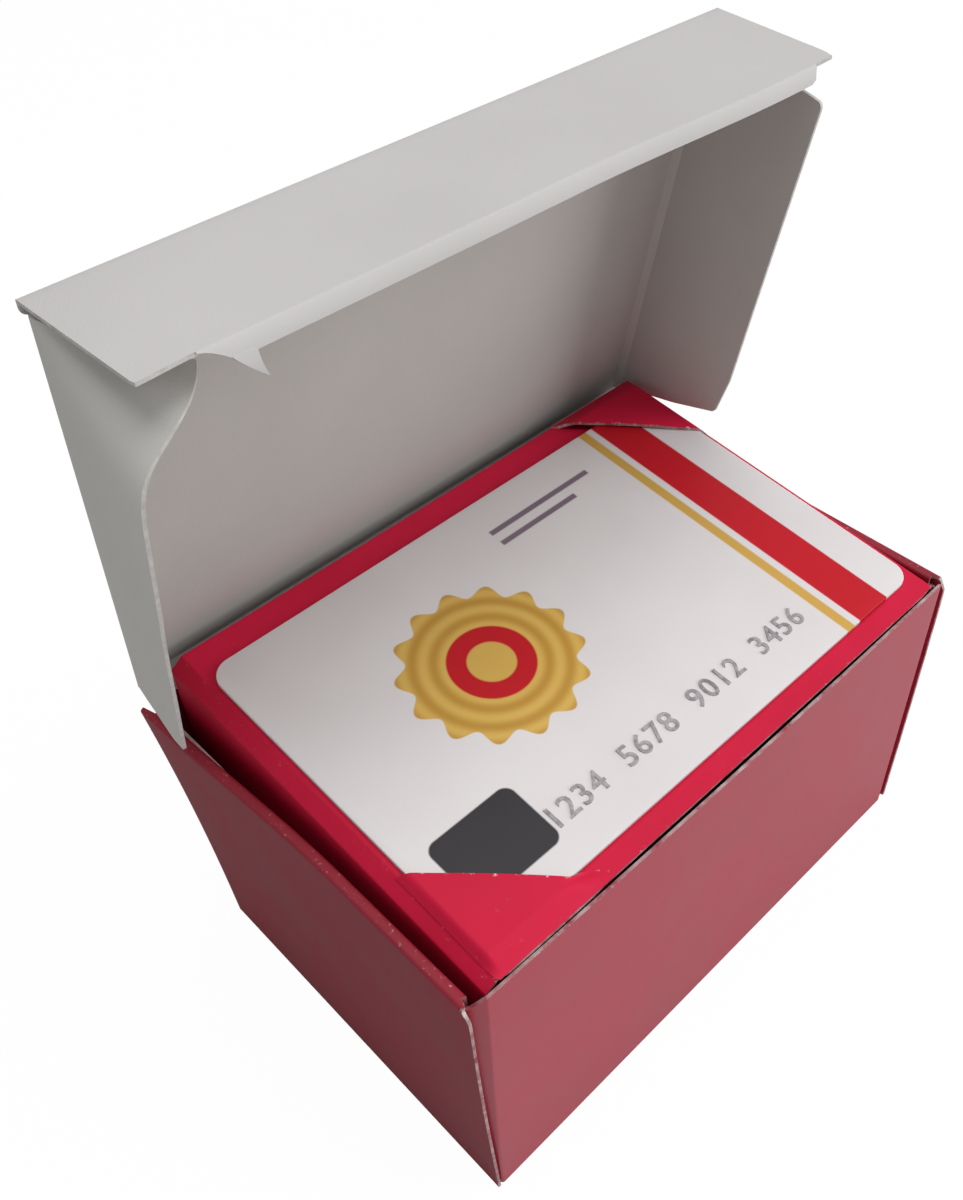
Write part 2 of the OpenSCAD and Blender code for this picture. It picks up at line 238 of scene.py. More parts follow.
# Left ear: a lighter copy of the off-white board, painted light falling from the left. The board itself is
# the same as the lid's.
off_white_ear_painted_light = board_finish(
    "off_white_ear_painted_light_board", (0.68, 0.67, 0.64), (0.64, 0.63, 0.60), 0.78, 0.0, 0.45, 35.0)
inked_edge = board_finish("inked_cut_edge", (0.50, 0.40, 0.39), (0.30, 0.05, 0.07), 0.85, 0.0, 0.9, 420.0)
lid_edge = board_finish("cut_edge_of_the_lid", (0.66, 0.65, 0.63), (0.52, 0.505, 0.49), 0.9, 0.0, 0.9, 900.0)
cut_edge = board_finish(
    "cut_edge_of_the_board", (0.66, 0.63, 0.61), (0.50, 0.42, 0.41), 0.9, 0.0, 0.9, 1400.0)

WALLS = (crimson, crimson_inner, inked_edge)
BACK_WALL = (crimson, crimson_inner, cut_edge)
SIDE_WALLS = (crimson_side_painted_shade, crimson_inner, inked_edge)
PLATFORM = (crimson_platform_painted_light, crimson_inner, inked_edge)
LID = (off_white, off_white, lid_edge)
FLAP = (off_white_flap, off_white_flap, lid_edge)
LEFT_EAR = (off_white_ear_painted_light, off_white, lid_edge)
print("finishes:", [m.name for m in bpy.data.materials])

# %% [markdown]
# ## A sheet of board
# Each panel is one sheet: a grid of points on the board's middle surface, with
# the face on one side, the back on the other and a narrow rim of cut board
# round it. An edge that lies on a crease is rounded to half the thickness, so
# two sheets that meet there look like one bent sheet at any angle.

# %% Make a sheet of board
def rounded_edges(mid, half, start, end):
    """Adds three columns past an edge: out by r sin a, half thickness r cos a, for a = 30, 60, 88 degrees."""
    r = half[0, 0]
    angles = np.radians([30, 60, 88])

    def columns_past(edge, inner, turns):
        out = edge - inner
        out /= np.linalg.norm(out, axis=-1, keepdims=True)
        thinner = np.tile(r * np.cos(turns), (len(mid), 1))
        return edge + out * (r * np.sin(turns))[None, :, None], thinner

    if start:
        extra, thin = columns_past(mid[:, :1], mid[:, 1:2], angles[::-1])
        mid, half = np.concatenate([extra, mid], 1), np.concatenate([thin, half], 1)
    if end:
        extra, thin = columns_past(mid[:, -1:], mid[:, -2:-1], angles)
        mid, half = np.concatenate([mid, extra], 1), np.concatenate([half, thin], 1)
    return mid, half


def grid_normals(mid):
    """Unit cross product of the grid's two directions, by central differences."""
    n = np.cross(np.gradient(mid, axis=0), np.gradient(mid, axis=1))
    return n / np.maximum(np.linalg.norm(n, axis=-1, keepdims=True), 1e-12)


def sheet_faces(m, k):
    """Quads of face, back and rim of an m by k grid whose back points follow the face points."""
    i = np.arange(m * k).reshape(m, k)
    j = i + m * k

    def quads(a, b, c, d):
        return np.stack([a.ravel(), b.ravel(), c.ravel(), d.ravel()], 1)

    face = quads(i[:-1, :-1], i[1:, :-1], i[1:, 1:], i[:-1, 1:])
    back = quads(j[:-1, :-1], j[:-1, 1:], j[1:, 1:], j[1:, :-1])
    rim = np.concatenate([
        quads(i[0, :-1], i[0, 1:], j[0, 1:], j[0, :-1]),
        quads(i[-1, 1:], i[-1, :-1], j[-1, :-1], j[-1, 1:]),
        quads(i[1:, 0], i[:-1, 0], j[:-1, 0], j[1:, 0]),
        quads(i[:-1, -1], i[1:, -1], j[1:, -1], j[:-1, -1]),
    ])
    return face, back, rim


def add_piece(name, points, faces, which, finishes, body, replaces=(), wear=None, sharp=40):
    """Puts points in millimetres and faces into a mesh object that rides on a body."""
    mesh = bpy.data.meshes.new(name)
    mesh.from_pydata((points * 0.001).tolist(), [], [list(f) for f in faces])
    for finish in finishes:
        mesh.materials.append(finish)
    mesh.polygons.foreach_set("material_index", np.asarray(which, np.int32))
    mesh.polygons.foreach_set("use_smooth", np.ones(len(faces), bool))
    if wear is not None:
        rubbed = mesh.attributes.new("wear", "FLOAT", "POINT")
        rubbed.data.foreach_set("value", np.asarray(wear, np.float32).ravel())
    mesh.set_sharp_from_angle(angle=math.radians(sharp))
    mesh.update()
    piece = bpy.data.objects.new(name, mesh)
    bpy.context.scene.collection.objects.link(piece)
    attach(piece, body)
    if replaces:
        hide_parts(*replaces)
    print(f"{name}: {len(points)} points, rides on {body}")
    return piece


def board_sheet(name, mid, finishes, body, replaces=(), wear=None,
                rounded=(False, False), turned=False):
    """A closed sheet: face = middle + n t/2, back = middle - n t/2, and a rim between them."""
    wear = np.zeros(mid.shape[:2]) if wear is None else wear
    if turned:
        mid, wear = mid[::-1], wear[::-1]
    mid, half = rounded_edges(mid, np.full(mid.shape[:2], BOARD / 2), *rounded)
    wear = np.pad(wear, ((0, 0), (3 * rounded[0], 3 * rounded[1])), mode="edge")
    n = grid_normals(mid) * half[..., None]
    points = np.concatenate([(mid + n).reshape(-1, 3), (mid - n).reshape(-1, 3)])
    face, back, rim = sheet_faces(*mid.shape[:2])
    which = np.repeat([0, 1, 2], [len(face), len(back), len(rim)])
    faces = np.concatenate([face, back, rim])
    return add_piece(name, points, faces, which, finishes, body, replaces, np.tile(wear.ravel(), 2))


def fold_line(corners, radius, step):
    """Points along straight runs between corners; a corner is the curve (1-t)^2 p + 2t(1-t) b + t^2 q."""
    c = np.asarray(corners, float)
    line = [c[:1]]

    def run_to(end):
        start = line[-1][-1]
        count = max(1, round(np.linalg.norm(end - start) / step))
        line.append(start + (end - start) * np.linspace(0, 1, count + 1)[1:, None])

    for a, b, d in zip(c[:-2], c[1:-1], c[2:]):
        u, v = (b - a) / np.linalg.norm(b - a), (d - b) / np.linalg.norm(d - b)
        back = radius * math.tan(math.acos(np.clip(u @ v, -1, 1)) / 2)
        p, q = b - u * back, b + v * back
        t = np.linspace(0, 1, 7)[:, None]
        run_to(p)
        line.append(((1 - t) ** 2 * p + 2 * t * (1 - t) * b + t**2 * q)[1:])
    run_to(c[-1])
    return np.concatenate(line)


# %% [markdown]
# ## The tray's front and back
# Each is one strip of board: a tab inside the left wall, a blunted corner
# strip, the wall, and the same again on the right. The plan of that strip is
# a fold line that is worked out for every height, because the left corner
# strip of the photographed box is wide at the top and narrow at the foot.

# %% Front and back walls
TAB_X, TAB_END = HALF_WIDE - 0.85, 11.8
TAB_DROP, TAB_LIFT = 1.9, 0.5
END_ROWS, END_COLUMNS = 40, 97


def end_wall(left_top, left_foot, right_strip, bow):
    """Middle surface of an end wall: rows by height, columns along the plan's fold line."""
    face_y = -HALF_DEEP + BOARD / 2

    def turn_y(strip):
        return face_y + 0.35 + 0.55 * (strip - 0.8)

    rows = []
    for h in np.linspace(0, 1, END_ROWS):
        left = left_foot + (left_top - left_foot) * h**1.3
        plan = fold_line([
            (-TAB_X, -TAB_END), (-TAB_X, turn_y(left)), (-HALF_WIDE + left, face_y),
            (HALF_WIDE - right_strip, face_y), (TAB_X, turn_y(right_strip)), (TAB_X, -TAB_END),
        ], 0.35, 2.4)
        at = np.linspace(0, len(plan) - 1, END_COLUMNS)
        even = [np.interp(at, np.arange(len(plan)), plan[:, c]) for c in (0, 1)]
        rows.append(np.stack([*even, np.full(END_COLUMNS, h)], 1))
    x, y, h = np.moveaxis(np.stack(rows), -1, 0)
    low = TAB_LIFT * smooth((y + HALF_DEEP - 1.0) / 0.8)
    top = HIGH - TAB_DROP * smooth((y + HALF_DEEP - 0.5) / 0.7)
    z = low + h * top * (HIGH - low) / HIGH
    y = y - bow * np.cos(np.clip(x / HALF_WIDE, -1, 1) * math.pi / 2) * h**3
    return np.stack([x, y, z], -1)


front = end_wall(3.1, 1.0, 1.9, 0.35)
rub = 0.45 * smooth((front[..., 2] - HIGH + 0.5) / 0.5) + 0.35 * smooth(1 - front[..., 2] / 1.0)
board_sheet("front_wall_board", front, WALLS, "tray",
            ("front_wall", "front_left_corner_tab", "front_right_corner_tab"), rub, turned=True)
rear = end_wall(1.9, 1.9, 1.9, 0.2) * np.array([1, -1, 1])
board_sheet("back_wall_board", rear, BACK_WALL, "tray",
            ("back_wall", "back_left_corner_tab", "back_right_corner_tab"))

# %% [markdown]
# ## The double side walls
# A side wall goes up, rolls over in two soft creases and comes down again
# inside. Its section is a fold line; it is carried from front to back while
# the top leans outward, most of all at the rear, and the free front corner
# at the top is rubbed round and bare. The left wall leans more than the right.

# %% Side walls
INNER_SETBACK, INNER_FOOT, ROLL_R = 2.1, 0.6, 0.38
CORNER_CUT, BELLY = 1.1, 0.25


def side_wall(flare):
    """Middle surface of the left double wall: rows front to back, columns over the section."""
    outer, inner = -HALF_WIDE + BOARD / 2, -INNER_FACE - BOARD / 2
    roof = HIGH - BOARD / 2
    section = fold_line([(outer, 0.0), (outer, roof), (inner, roof), (inner, INNER_FOOT)], ROLL_R, 1.6)
    along = np.linspace(-1, 1, 90)
    along = (np.sign(along) * (1 - (1 - np.abs(along)) ** 1.25))[:, None]
    x, z = (np.tile(section[:, c], (90, 1)) for c in (0, 1))
    folded = smooth((x - outer - 0.35) / (inner - outer - 0.7))
    corner = CORNER_CUT * smooth((z - HIGH + 3.2) / 3.2) ** 2 * (1 - folded)
    y = along * (HALF_DEEP - INNER_SETBACK * folded) + corner * smooth(-along * 20 - 18.6)
    lean = flare * (z / HIGH) ** 2.2 * smooth((y + 8) / 42)
    belly = BELLY * np.sin(z / HIGH * math.pi) * smooth(-y / 30)
    at_corner = 0.9 * smooth((-y - 30.6) / 1.2) * smooth((z - HIGH + 2.6) / 1.6) * (1 - 0.6 * folded)
    on_top = 0.42 * smooth((z - HIGH + 0.55) / 0.4)
    on_rims = 0.5 * smooth((-y - HALF_DEEP + 0.5) / 0.4) + 0.3 * smooth(1 - z / 0.8)
    return np.stack([x - lean - belly, y, z], -1), np.maximum(np.maximum(at_corner, on_top), on_rims)


left, left_rub = side_wall(1.7)
# The side walls' outer faces take the darker crimson copy, which is painted shade.
board_sheet("left_wall_board", left, SIDE_WALLS, "tray",
            ("left_outer_wall", "left_wall_top", "left_inner_wall"), left_rub)
right, right_rub = side_wall(0.6)
board_sheet("right_wall_board", right * np.array([-1, 1, 1]), SIDE_WALLS, "tray",
            ("right_outer_wall", "right_wall_top", "right_inner_wall"), right_rub, turned=True)
for bottom_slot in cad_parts["bottom_panel"].material_slots:
    bottom_slot.material = crimson_inner

# %% [markdown]
# ## The platform
# The platform is one sheet: a leg, a blunted crease, the flat top, and the
# same again. Its right crease is pushed out a little towards the right wall
# while the leg below keeps its place, and the back of each leg slants forward
# to its foot. Under the two slit corners the sheet is pressed down out of
# their way.

# %% Platform
CARD_LONG, CARD_WIDE, CARD_THICK, CARD_R = 85.6, 53.98, 0.76, 3.18
CARD_INSET, PLATFORM_DEEP, FRONT_CATCH, BACK_CATCH = 3, 61.98, 13.6, 12.1
CARD_Y = FRONT_Y + CARD_INSET + CARD_WIDE / 2
BACK_Y = FRONT_Y + PLATFORM_DEEP
CREASE_X, LEG_X, LEG_FOOT, BEVEL = 43.4, 45.15, 0.6, 1.5
FRONT_SLIT = -(CARD_LONG + CARD_WIDE) / 2 + FRONT_CATCH + CARD_Y
BACK_SLIT = (CARD_LONG + CARD_WIDE) / 2 - BACK_CATCH + CARD_Y
LEG_SLANT, FRONT_SAG, PRESSED, TOP_BOW = 4.4, 0.24, 0.5, 0.12
CREASE_OUT, LEG_BACK = 0.35, 1.10


def platform_grid():
    """Rows front to back, columns over the section foot - leg - crease - top - crease - leg - foot."""
    mid_z = TOP_Z - BOARD / 2
    half_section = [(-LEG_X, LEG_FOOT), (-LEG_X, mid_z - BEVEL), (-CREASE_X, mid_z)]
    section = fold_line(half_section + [(-x, z) for x, z in half_section[::-1]], 0.35, 1.0)
    along = np.linspace(0, 1, 64)[:, None]
    x, z = (np.tile(section[:, c], (64, 1)) for c in (0, 1))
    below = TOP_Z - 1.6 - z
    back = BACK_Y - LEG_SLANT * smooth(below / 53) * below / 53
    sag = FRONT_SAG * (1 - along) * smooth((z - TOP_Z + 3) / 2) * smooth((43.2 - np.abs(x)) / 1.5)
    y = FRONT_Y + (back - FRONT_Y) * along - sag
    front_left = smooth((FRONT_SLIT - x - y) / 1.0) * smooth((x + CREASE_X) / 0.8)
    back_right = smooth((x + y - BACK_SLIT) / 1.0) * smooth((CREASE_X - x) / 0.8)
    under = np.maximum(front_left, back_right) * smooth((y - FRONT_Y) / 0.8) * smooth((BACK_Y - y) / 0.8)
    z = z - PRESSED * under * (z > TOP_Z - 0.6)
    bow = TOP_BOW * np.cos(np.clip(x / 44, -1, 1) * math.pi / 2) * (z > 50)
    x = x + CREASE_OUT * smooth((x - 42.0) / 1.2) - LEG_BACK * smooth((x - 43.9) / 1.2)
    return np.stack([x, y, z - bow], -1)


deck = platform_grid()
deck_wear = np.maximum(
    0.30 * smooth((np.abs(deck[..., 0]) - CREASE_X + 0.5) / 0.5) * (deck[..., 2] > TOP_Z - 1.0),
    0.45 * smooth((FRONT_Y - deck[..., 1] + 0.5) / 0.5))
# The platform's face takes the brighter crimson copy, which is painted light.
board_sheet("platform_board", on_platform(deck), PLATFORM, "platform",
            ("platform_top_panel", "platform_left_side", "platform_right_side"), deck_wear, turned=True)

# %% [markdown]
# ## The slit corners
# Two diagonal slits free the platform's front left and back right corners,
# which ride up over the card. Each corner is its own small sheet, lifted by
# the card's thickness and flush with the platform along its outer edges. A
# torn slit is never clean, so its free edge is worn by uneven amounts.

# %% Slit corners
SLIT_LIFT, SLIT_CURL, TAIL_START = 1.30, 0.35, 0.80


def slit_corner(sign, slit_sum, edge_y, skirt):
    """Triangle from the platform's corner to its slit: corner + s ((1 - v) a + v b), lifted over the card."""
    cx, cy = sign * (CREASE_X + 0.25), edge_y + (0.2 if sign < 0 else 0.05) * sign
    side = slit_sum - cx - cy
    v = np.linspace(0, 1, 61)[None, :]
    tail = smooth((v - TAIL_START) / 0.08)
    past = 1 + skirt * tail
    s = 0.02 + (past - 0.02) * np.linspace(0, 1, 44)[:, None]
    x, y = cx + s * v * side, cy + s * (1 - v) * side
    up = SLIT_LIFT * smooth((sign * (cx - x) + 0.35) / 1.5) * smooth((sign * (cy - y) + 0.3) / 3.2)
    up = up * (1 - smooth((s - 0.88) / (past - 0.88 + 1e-6)) * tail * (skirt > 0))
    curl = SLIT_CURL * smooth((s - 0.55) / 0.45) * np.sin(np.clip(v, 0, 1) * math.pi) ** 2
    z = TOP_Z - BOARD / 2 - 0.03 + up + curl
    near = smooth((s - past + 0.05) / 0.04) * smooth(v / 0.05) * smooth((1.04 - v) / 0.1)
    return np.stack([x, y, z], -1), (0.42 + 0.30 * np.sin(v * 37) * np.sin(v * 91)) * near


for name, corner_args in (("front_left_slit_corner", (-1, FRONT_SLIT, FRONT_Y, 0.13)),
                          ("back_right_slit_corner", (1, BACK_SLIT, BACK_Y, 0.0))):
    corner, torn = slit_corner(*corner_args)
    board_sheet(name, on_platform(corner), PLATFORM, "platform", (), torn, turned=True)

# %% [markdown]
# ## The lid
# The lid turns on two creases with a narrow strip between them. Its panel is
# nearly flat and a little wider in front of the ears, where the flap begins.
# A blunted crease strip runs along each side, from the panel down to the ear.

# %% Lid panel, hinge strip and crease strips
LID_FLAT = (47.0, 45.6)
EAR_ROOT = (48.3, 46.4)
FLAP_ENDS = (48.7, 47.7)
STRIP_LOW, STRIP_TOP = 2.6, 67.5
LID_BOW = 0.35


def lid_panel():
    """Rows across, columns from hinge crease to flap: x = left + s (right - left), wider past the ears."""
    runs = ((LID_RISE, 65.6, 40), (65.9, 67.6, 8), (67.8, LID_LONG, 4))
    u = np.concatenate([np.linspace(*run) for run in runs])
    past_ears = smooth((u - 66.0) / 1.5)
    left = -LID_FLAT[0] - (FLAP_ENDS[0] - LID_FLAT[0]) * past_ears
    right = LID_FLAT[1] + (FLAP_ENDS[1] - LID_FLAT[1]) * past_ears
    s = np.linspace(0, 1, 70)[:, None]
    bow = LID_BOW * np.sin(s * math.pi) * np.sin((u - LID_RISE) / (LID_LONG - LID_RISE) * math.pi)
    return np.stack([left + (right - left) * s, -u + 0 * s, LID_RISE + bow], -1)


board_sheet("lid_panel_board", on_lid(lid_panel()), LID, "lid", ("lid_panel",),
            rounded=(True, True))


def crease_strip(low, high):
    """A straight strip of board between two creases: 40 rows from low to high along it, 4 columns across."""
    low, high = np.array(low, float), np.array(high, float)
    along = np.linspace(0, 1, 40)[:, None, None]
    a, b = low[0] + (low[1] - low[0]) * along, high[0] + (high[1] - high[0]) * along
    return a + (b - a) * np.linspace(0, 1, 4)[None, :, None]


hinge = crease_strip(([-LID_FLAT[0], 0, 0], [LID_FLAT[1], 0, 0]),
                     ([-LID_FLAT[0], -LID_RISE, LID_RISE], [LID_FLAT[1], -LID_RISE, LID_RISE]))
board_sheet("lid_hinge_strip_board", on_lid(hinge), LID, "hinge_strip", ("lid_hinge_strip",),
            rounded=(True, True))
for side, label, flat, root in zip((-1, 1), ("left", "right"), LID_FLAT, EAR_ROOT):
    strip = crease_strip(([side * flat, -STRIP_LOW, LID_RISE], [side * flat, -STRIP_TOP, LID_RISE]),
                         ([side * root, -STRIP_LOW, EAR_Z], [side * root, -STRIP_TOP, EAR_Z]))
    board_sheet(f"{label}_ear_crease_strip", on_lid(strip), LID, "lid",
                rounded=(True, True), turned=side < 0)

# %% [markdown]
# ## The ears
# Ears hang from the crease strips on both sides. The left one is sprung
# outward at its lower end and its upper corner curls in under the lip, as
# worn board does; the right one hangs nearly straight. When the lid shuts,
# the walls press both flat.

# %% Ears
CORNER_R, TIP_ROWS, CURL_FADE = 0.9, 2.2, 2.2


def ear(side, root, splay, curl, depth, low, top):
    """Rows along the crease, columns across; u runs along it and d down the ear's cut outline.

    x = root + splay(u) (d / D)^1.1 - t, and the ear drops by sqrt(d^2 - (1.12 t)^2), with the
    curl t = curl exp((u - top) / 2.2) (d / D)^1.2, which fades quickly away from the top.
    """
    tip = np.sin(np.linspace(0.05, 1, 14) * math.pi / 2)
    u = np.concatenate([np.linspace(low, low + 9, 18), np.linspace(low + 9.6, 55, 32),
                        np.linspace(55.5, top - 2.5, 16), top - TIP_ROWS * (1 - tip)])
    past = np.clip((u - top + CORNER_R) / (CORNER_R + 0.05), 0, 1)
    deep = np.interp(u, *depth) - CORNER_R * (1 - np.sqrt(np.clip(1 - past**2, 0, 1)))
    d = deep[:, None] * np.linspace(0, 1, 30)[None, :]
    along = u[:, None] + 0.9 * smooth((u[:, None] - 61) / 5.5) * smooth(1 - d / 4)
    lean = np.interp(along, [3, 12, 35, 64], splay) * (d / EAR_DEEP) ** 1.1
    tuck = curl * np.exp((along - top) / CURL_FADE) * (d / EAR_DEEP) ** 1.2
    drop = np.sqrt(np.maximum(d**2 - (1.12 * tuck) ** 2, 0.02 * d**2))
    return np.stack([side * (root + lean - tuck), -along, EAR_Z - drop], -1)


left_outline = ([2.9, 4.8, 7.5, 20.2, 29.3, 40.3, 50.8, 66],
                [2.6, 10.5, 14.1, 15.1, 15.7, 16.6, 17.0, 17.2])
left_ear = ear(-1, EAR_ROOT[0], (2.5, 2.5, 2.4, 1.6), 10.8, left_outline, 2.9, 66.7)
# The left ear's outer face takes the lighter off-white copy, which is painted light from the left.
left_piece = board_sheet("left_ear_board", on_lid(left_ear), LEFT_EAR, "left_ear",
                         ("lid_left_ear",), rounded=(True, False), turned=True)
right_outline = ([3.4, 8.4, 12.6, 20, 66], [0.3, 11.0, 18.6, 19.3, 18.3])
right_ear = ear(1, EAR_ROOT[1], (0.4, 0.4, 0.3, 0.3), 0.0, right_outline, 3.4, 66.8)
right_piece = board_sheet("right_ear_board", on_lid(right_ear), LID, "right_ear",
                          ("lid_right_ear",), rounded=(True, False))
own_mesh(left_piece)
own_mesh(right_piece)

# %% [markdown]
# ## Front flap
# The flap is a plain strip folded down from the lid. It is not quite even: it
# is about a millimetre shallower over the left and middle, and its ends slant
# in, the left one more than the right.

# %% Front flap
FLAP_BOW, LEFT_SLANT, RIGHT_SLANT = 0.30, 1.0, 0.3


def flap_depth(x):
    """How far the flap's free edge is from its crease: 1.0 to 1.3 mm less over the left and middle."""
    return FLAP_DEEP - (1.0 + 0.3 * smooth((x + 48) / 6)) * (1 - smooth((x - 5) / 34))


def front_flap():
    """Rows across, columns down the flap; it bows by FLAP_BOW cos(x) sin(d), most at its free edge."""
    x = np.linspace(-HALF_WIDE, HALF_WIDE, 110)[:, None]
    d = flap_depth(x) * np.concatenate([np.linspace(0, 0.95, 20), [0.975, 1]])[None, :]
    end = 0.35 * smooth((np.abs(x) - HALF_WIDE + 0.8) / 0.8) * smooth((d - 17) / 1.6)
    bow = FLAP_BOW * np.cos(x / HALF_WIDE * math.pi / 2) * np.sin(d / FLAP_DEEP * math.pi / 2)
    down = d / FLAP_DEEP
    reach = np.where(x < 0, FLAP_ENDS[0] - LEFT_SLANT * down, FLAP_ENDS[1] - RIGHT_SLANT * down) / HALF_WIDE
    return np.stack([x * reach - np.sign(x) * end, bow, -d], -1)


board_sheet("front_flap_board", on_flap(front_flap()), FLAP, "front_flap", ("lid_front_flap",),
            rounded=(True, False), turned=True)

# %% [markdown]
# ## Tuck lip and its tail
# Along the flap's free edge the board turns in once more as a narrow lip
# between two short shoulders. At the lip's left end the cut tore into a thin
# pointed tail, which lies in the lip's own curved surface.

# %% Tuck lip and its tail
LIP_LEFT, LIP_RIGHT, LIP_WIDE = -HALF_WIDE + 6.4, HALF_WIDE - 4.3, 1.75


def lip_points(x, w, curl):
    """Points w down the lip from its crease, which bows with the flap's edge; the lip curls as it goes."""
    a = np.radians(90 - LIP_FOLD) - curl * w
    bow = FLAP_BOW * np.cos(x / HALF_WIDE * math.pi / 2)
    return on_flap(np.stack([x + 0 * w, bow + w * np.cos(a), -flap_depth(x) - w * np.sin(a)], -1))


lip_x = np.linspace(LIP_LEFT, LIP_RIGHT, 120)[:, None]
lip_width = np.interp(lip_x, [LIP_LEFT, -40.6, -39.5, -38.6, LIP_RIGHT - 0.9, LIP_RIGHT],
                      [0.04, 0.35, 1.05, LIP_WIDE, LIP_WIDE, 0.2])
lip = lip_points(lip_x, lip_width * np.linspace(0, 1, 7)[None, :], 0.12)
board_sheet("tuck_lip_board", lip, FLAP, "tuck_lip", ("lid_tuck_lip",), rounded=(True, False),
            turned=True)

down = np.linspace(0, 1, 24)[:, None]
cut_side = np.stack([-38.9 + 2.9 * down, 1.45 + 2.95 * down**0.85], -1)
torn_side = np.stack([-36.35 - 0.25 * np.sin(down * math.pi) + 0.40 * down, 1.5 + 2.97 * down], -1)
tail = cut_side + (torn_side - cut_side) * np.linspace(0, 1, 6)[None, :, None]
board_sheet("lip_tail", lip_points(tail[..., 0], tail[..., 1], 0.08), FLAP, "tuck_lip",
            turned=True)

# %% [markdown]
# ## The card's print
# The print is a plain pattern of this lesson's own, made of nodes on the
# card's UV map in millimetres: a scalloped gold rosette, a crimson and a gold
# ribbon, a slate patch and two ruled lines. Each shape is a distance with a
# soft step, so its edge stays crisp at any size.

# %% Card finish
INK_BLUR = 0.12
DARK_GOLD, LIGHT_GOLD = (0.50, 0.27, 0.045), (0.66, 0.42, 0.10)
MIDDLE_GOLD, RIBBON_GOLD = (0.62, 0.39, 0.09), (0.60, 0.36, 0.08)
RING_RED, RIBBON_RED = (0.50, 0.008, 0.016), (0.52, 0.008, 0.018)
SLATE, LINE_GREY = (0.025, 0.022, 0.026), (0.20, 0.15, 0.19)
ROSETTE, PETALS, PETAL_DEEP = (-14.0, 3.0), 14.0, 0.9


def card_finish():
    """White laminate with its printed shapes, all from the UV map in millimetres."""
    material, tree, shader = new_material("printed_card")
    uv = tree.nodes.new("ShaderNodeUVMap")
    uv.uv_map = "card_mm"
    axes = tree.nodes.new("ShaderNodeSeparateXYZ")
    tree.feed(axes.inputs[0], uv.outputs["UV"])
    place = [tree.math("MULTIPLY", axes.outputs[c], 100.0) for c in (0, 1)]

    def length(a, b):
        return tree.math("SQRT", tree.math("ADD", tree.math("MULTIPLY", a, a), tree.math("MULTIPLY", b, b)))

    def inside(value, edge):
        return tree.spread(value, edge + INK_BLUR, edge - INK_BLUR)

    def box(middle, half, r=0.0):
        """A rounded box: the length of max(|p - middle| - (half - r), 0) is less than r."""
        past = []
        for p, m, h in zip(place, middle, half):
            off = tree.math("ABSOLUTE", tree.math("SUBTRACT", p, m))
            past.append(tree.math("MAXIMUM", tree.math("SUBTRACT", off, h - r), 0.0))
        return inside(length(*past), max(r, INK_BLUR))

    where = tree.object_place()
    cloudy = tree.spread(tree.noise(where, 50, 2), 0.3, 0.7)
    dx, dy = (tree.math("SUBTRACT", p, m) for p, m in zip(place, ROSETTE))
    far = length(dx, dy)
    around = tree.math("MULTIPLY", tree.math("ARCTAN2", dy, dx), PETALS)
    petals = tree.math("MULTIPLY", tree.math("COSINE", around), PETAL_DEEP)
    ripples = tree.spread(tree.math("SINE", tree.math("MULTIPLY", far, 2.2)), -1, 1)
    tone = tree.mix(cloudy, (0.69, 0.65, 0.655), (0.73, 0.695, 0.70))
    for mask, ink in (
        (inside(tree.math("SUBTRACT", far, petals), 12.5), tree.mix(ripples, DARK_GOLD, LIGHT_GOLD)),
        (inside(far, 6.2), RING_RED),
        (inside(far, 3.4), MIDDLE_GOLD),
        (box((33.0, 0.0), (3.2, 40.0)), RIBBON_RED),
        (box((27.6, 0.0), (0.7, 40.0)), RIBBON_GOLD),
        (box((-32.5, -17.5), (6.8, 5.2), 1.6), SLATE),
        (box((12.0, 20.5), (10.0, 0.35)), LINE_GREY),
        (box((9.5, 18.0), (7.5, 0.35)), LINE_GREY),
    ):
        tone = tree.mix(mask, tone, ink)
    tree.feed(shader.inputs["Base Color"], tone)
    tree.feed(shader.inputs["Roughness"], tree.spread(cloudy, 0, 1, 0.42, 0.48))
    shader.inputs["Specular IOR Level"].default_value = 0.25
    tree.bump(tree.noise(where, 1800, 2), 0.08, 0.00003, shader)
    return material


printed = card_finish()
print("card's print:", len(printed.node_tree.nodes), "nodes")

# %% [markdown]
# ## The card's body
# A standard plastic card: a slab with round corners and a small bevel all
# round. Its outline is drawn five times, inset a little at the top and bottom
# rims, and the rings are joined by quads.

# %% Card body
CARD_UP, RIM, ROUND = TOP_Z + 0.05, 0.10, 96


def card_rings():
    """Rings of the card's outline: corner middle + (r - inset) (cos, sin), inset by a bevel at the rims."""
    turn = np.linspace(0, 2 * math.pi, ROUND, endpoint=False)
    cx = (CARD_LONG / 2 - CARD_R) * np.sign(np.cos(turn))
    cy = (CARD_WIDE / 2 - CARD_R) * np.sign(np.sin(turn))
    levels = ((RIM, 0.0), (0.0, RIM), (0.0, CARD_THICK - RIM), (0.03, CARD_THICK - 0.03), (RIM, CARD_THICK))
    rings = []
    for inset, h in levels:
        r = CARD_R - inset
        rings.append(np.stack([cx + r * np.cos(turn), cy + r * np.sin(turn), np.full(ROUND, h)], 1))
    return np.stack(rings)


